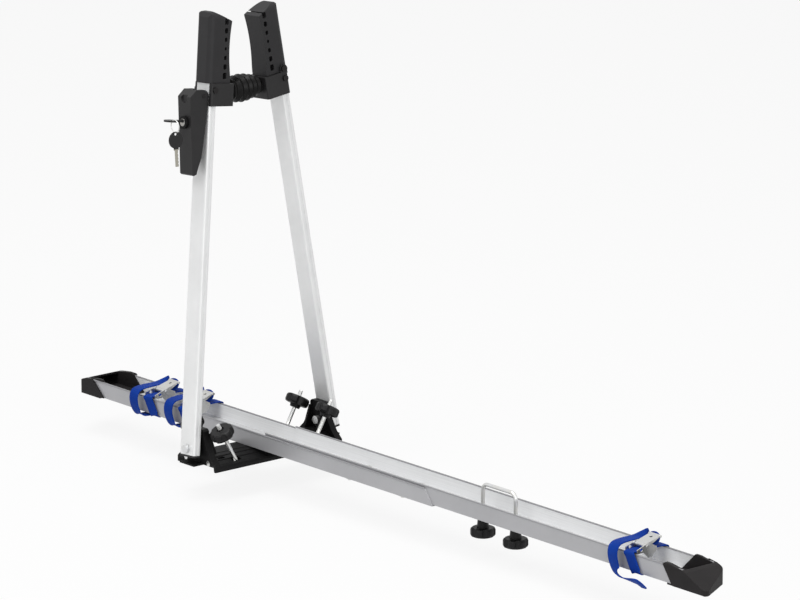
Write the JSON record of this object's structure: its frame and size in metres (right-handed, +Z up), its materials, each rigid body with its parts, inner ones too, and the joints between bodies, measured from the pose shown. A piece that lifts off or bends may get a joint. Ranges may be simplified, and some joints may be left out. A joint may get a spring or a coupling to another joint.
{
  "type": "roof mounted bike carrier",
  "caption": "Roof mounted bike carrier: nested aluminium wheel rail, folding A-shaped frame clamp with locking lever, roof bar bows with star knobs and webbing wheel straps.",
  "frame": {"origin": "middle of the base's underside, where the roof bar bears", "axes": "+X along the wheel rail to the front, +Y across the rail to the far arm, +Z up"},
  "size_m": [1.4568, 0.2955, 0.698],
  "materials": {
    "aluminium": "satin anodised",
    "black_plastic": "fine grained moulded plastic",
    "black_anodised": "satin black",
    "black_rubber": "matt rubber",
    "webbing": "woven nylon",
    "zinc_steel": "zinc plated",
    "key_metal": "nickel plated brass"
  },
  "bodies": {
    "carrier": {"rear_rail": "aluminium", "front_rail": "aluminium", "splice_bolts": "zinc_steel", "rear_cap": "black_plastic", "front_cap": "black_plastic", "base_saddle": "black_anodised", "base_bolts": "zinc_steel", "near_bracket": "black_anodised", "far_bracket": "black_anodised", "bracket_screws": "zinc_steel", "fold_bolts": "zinc_steel", "rear_strap_a": "webbing", "rear_strap_b": "webbing", "front_strap": "webbing", "buckle_a": "zinc_steel", "buckle_b": "zinc_steel", "buckle_c": "zinc_steel"},
    "frame": {"near_arm": "aluminium", "far_arm": "aluminium", "arm_spacers": "black_plastic", "arm_plugs": "black_plastic", "near_block": "black_plastic", "far_block": "black_plastic", "near_jaw": "black_rubber", "jaw_bolt": "zinc_steel", "draw_rod": "zinc_steel", "bellows": "black_rubber", "release_spring": "zinc_steel", "lever_pin": "zinc_steel", "block_screws": "zinc_steel"},
    "far_jaw": {"far_jaw": "black_rubber"},
    "lever": {"lever": "black_plastic", "lock_barrel": "black_anodised"},
    "lock": {"lock_plug": "zinc_steel", "lock_key": "black_plastic"},
    "key_ring": {"key_ring": "zinc_steel"},
    "spare_key": {"spare_key": "key_metal"},
    "near_bow": {"near_bow": "zinc_steel"},
    "far_bow": {"far_bow": "zinc_steel"},
    "front_bow": {"front_bow": "zinc_steel", "clamp_strip": "zinc_steel"},
    "near_knob_front": {"near_knob_front": "black_plastic"},
    "near_knob_back": {"near_knob_back": "black_plastic"},
    "far_knob_front": {"far_knob_front": "black_plastic"},
    "far_knob_back": {"far_knob_back": "black_plastic"},
    "front_knob_a": {"front_knob_a": "black_plastic"},
    "front_knob_b": {"front_knob_b": "black_plastic"},
    "buckle_lever_a": {"buckle_lever_a": "zinc_steel"},
    "buckle_lever_b": {"buckle_lever_b": "zinc_steel"},
    "buckle_lever_c": {"buckle_lever_c": "zinc_steel"}
  },
  "joints": [
    {"name": "frame_fold", "type": "hinge", "parent": "carrier", "child": "frame", "pos_m": [0, 0, 0.025], "axis": [0, 1, 0], "range_deg": [0, 86]},
    {"name": "far_jaw_tip", "type": "hinge", "parent": "frame", "child": "far_jaw", "pos_m": [-0.04026, 0.06508, 0.57322], "axis": [0.9973, 0, 0.0732], "range_deg": [-30, 0]},
    {"name": "lever_swing", "type": "hinge", "parent": "frame", "child": "lever", "pos_m": [-0.03867, -0.08443, 0.55158], "axis": [0.9973, 0, 0.0732], "range_deg": [-88, 0]},
    {"name": "lock_turn", "type": "hinge", "parent": "lever", "child": "lock", "pos_m": [-0.03599, -0.11421, 0.5151], "axis": [0.0091, 0.9922, -0.1241], "range_deg": [0, 90]},
    {"name": "key_ring_swing", "type": "hinge", "parent": "lock", "child": "key_ring", "pos_m": [-0.02622, -0.13754, 0.52269], "axis": [0.9973, 0, 0.0732], "range_deg": [-15, 12]},
    {"name": "spare_key_swing", "type": "hinge", "parent": "key_ring", "child": "spare_key", "pos_m": [-0.02489, -0.13754, 0.50454], "axis": [0.9973, 0, 0.0732], "range_deg": [-25, 25]},
    {"name": "near_bow_swing", "type": "hinge", "parent": "carrier", "child": "near_bow", "pos_m": [0, -0.072, -0.0033], "axis": [1, 0, 0], "range_deg": [-28, 0]},
    {"name": "far_bow_swing", "type": "hinge", "parent": "carrier", "child": "far_bow", "pos_m": [0, 0.072, -0.0033], "axis": [1, 0, 0], "range_deg": [0, 28]},
    {"name": "near_knob_front_spin", "type": "hinge", "parent": "near_bow", "child": "near_knob_front", "pos_m": [0.036, -0.10204, 0.04979], "axis": [0, -0.4924, 0.8704], "continuous": true},
    {"name": "near_knob_back_spin", "type": "hinge", "parent": "near_bow", "child": "near_knob_back", "pos_m": [-0.036, -0.10204, 0.04979], "axis": [0, -0.4924, 0.8704], "continuous": true},
    {"name": "far_knob_front_spin", "type": "hinge", "parent": "far_bow", "child": "far_knob_front", "pos_m": [0.036, 0.10204, 0.04979], "axis": [0, 0.4924, 0.8704], "continuous": true},
    {"name": "far_knob_back_spin", "type": "hinge", "parent": "far_bow", "child": "far_knob_back", "pos_m": [-0.036, 0.10204, 0.04979], "axis": [0, 0.4924, 0.8704], "continuous": true},
    {"name": "front_bow_slide", "type": "slide", "parent": "carrier", "child": "front_bow", "axis": [0, 0, 1], "range_m": [-0.03, 0]},
    {"name": "front_knob_a_spin", "type": "hinge", "parent": "front_bow", "child": "front_knob_a", "pos_m": [0.515, 0, -0.015], "axis": [0, 0, 1], "continuous": true},
    {"name": "front_knob_b_spin", "type": "hinge", "parent": "front_bow", "child": "front_knob_b", "pos_m": [0.587, 0, -0.015], "axis": [0, 0, 1], "continuous": true},
    {"name": "buckle_a_open", "type": "hinge", "parent": "carrier", "child": "buckle_lever_a", "pos_m": [-0.23, -0.009, 0.0442], "axis": [1, 0, 0], "range_deg": [0, 95]},
    {"name": "buckle_b_open", "type": "hinge", "parent": "carrier", "child": "buckle_lever_b", "pos_m": [-0.144, -0.009, 0.0442], "axis": [1, 0, 0], "range_deg": [0, 95]},
    {"name": "buckle_c_open", "type": "hinge", "parent": "carrier", "child": "buckle_lever_c", "pos_m": [0.867, -0.009, 0.0472], "axis": [1, 0, 0], "range_deg": [0, 95]}
  ]
}
